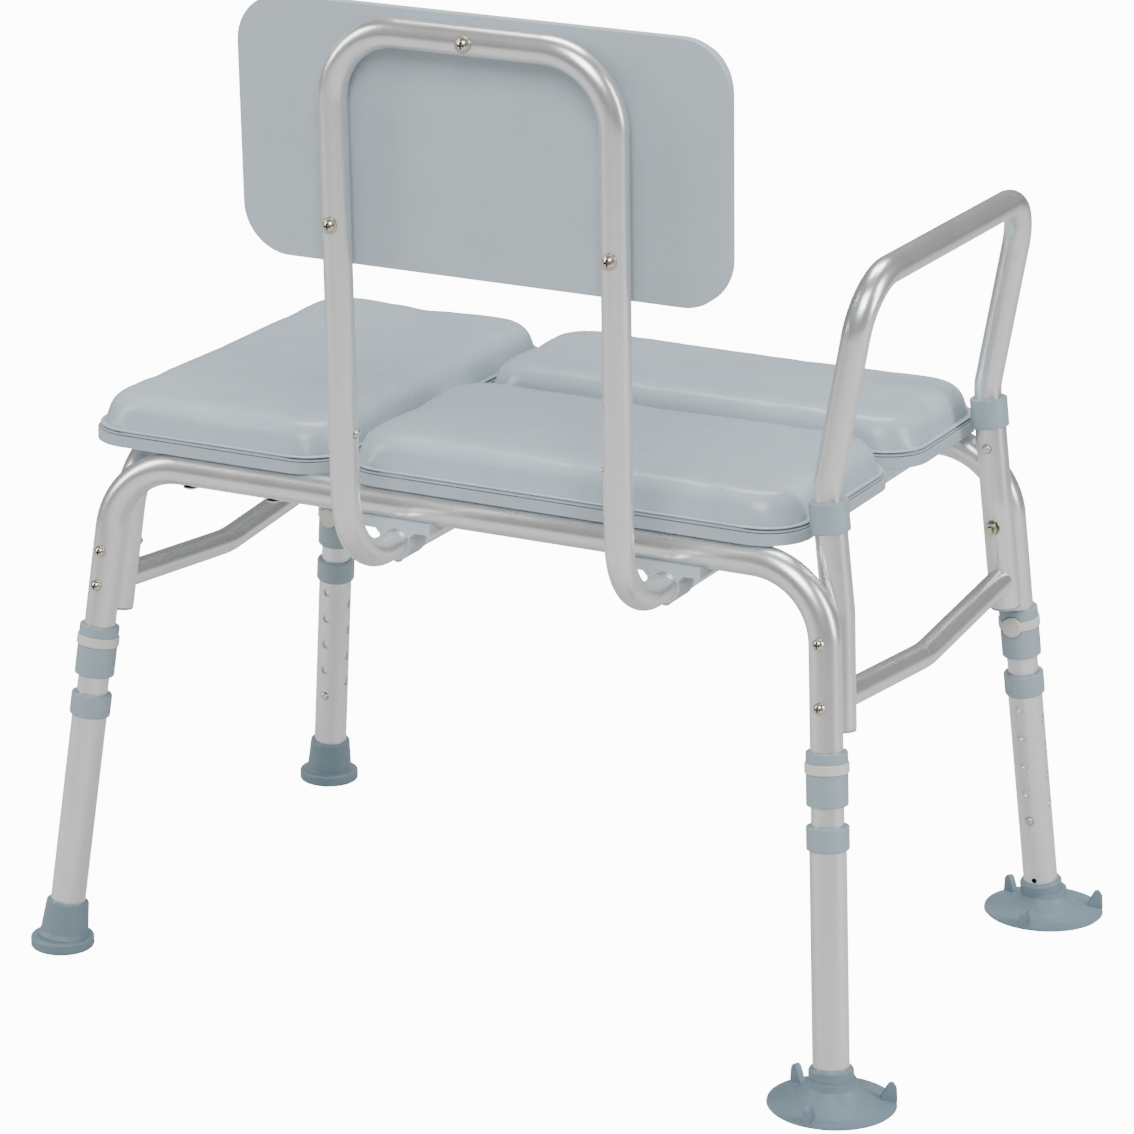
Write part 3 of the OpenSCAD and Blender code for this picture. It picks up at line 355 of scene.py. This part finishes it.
# Seat seams: two fine welded beads round the foot of each seat cushion, in the same
# vinyl, where the skin is sealed to the board.
for side in ("open", "rear", "front"):
    low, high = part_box("seat_pad_" + side)
    width, depth, height = high - low
    for number, rise, inset in ((1, 0.0006, 0.0002), (2, 0.0034, 0.0006)):
        bead = rounded_block("seat_seam_%s_%d" % (side, number), width - 2 * inset,
                             depth - 2 * inset, 0.0012, 0.037, 0, 0)
        round_off = bead.modifiers.new("round_off", "BEVEL")
        round_off.width = 0.0006
        round_off.segments = 2
        bpy.ops.object.modifier_apply(modifier="round_off")
        bpy.ops.object.shade_smooth()
        place(bead, ((low.x + high.x) / 2, (low.y + high.y) / 2, low.z + rise), (0, 0, 0), "frame",
              vinyl, "cushion_vinyl")

# Arm handle: one bent tube that slides into the two arm posts, in the satin finish.
paint(tube_satin, "arm_handle")

# Backrest posts and tube: satin tubes; the posts slide into the sockets and the tube
# stands on their necks.
paint(tube_satin, "back_post_open", "back_post_arm", "back_tube")

# Back board: a moulded grey-blue board screwed to the front of the backrest tube.
back_blue = plastic_finish("back_blue", (0.43, 0.50, 0.545), 0.4)
paint(back_blue, "back_board")

# Back cushion: a thinner vinyl pad on the front of the back board, leaning with it.
panel_foot = Vector((-0.053, 0.26877, 0.622))
panel_middle_up = 0.100
board_front_out = 0.01912
back_lean = math.radians(3.6)
back_turn = (math.radians(90) - back_lean, 0, 0)
panel_forward = Vector((0, -math.cos(back_lean), math.sin(back_lean)))
panel_up = Vector((0, math.sin(back_lean), math.cos(back_lean)))
back_spot = panel_foot + panel_forward * board_front_out + panel_up * panel_middle_up
pad = rounded_block("back_cushion", 0.400, 0.199, 0.016, 0.037, 0.001, 0.006)
swell(pad, 0.003, 0.004)
place(pad, back_spot, back_turn, "backrest", vinyl, "cushion_vinyl")
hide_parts("back_pad")

# Back seam: one fine bead where the back cushion's skin meets its board.
bead = rounded_block("back_seam", 0.4006, 0.1996, 0.0012, 0.038, 0, 0)
bpy.ops.object.shade_smooth_by_angle(angle=math.radians(30))
place(bead, back_spot, back_turn, "backrest", vinyl, "cushion_vinyl")
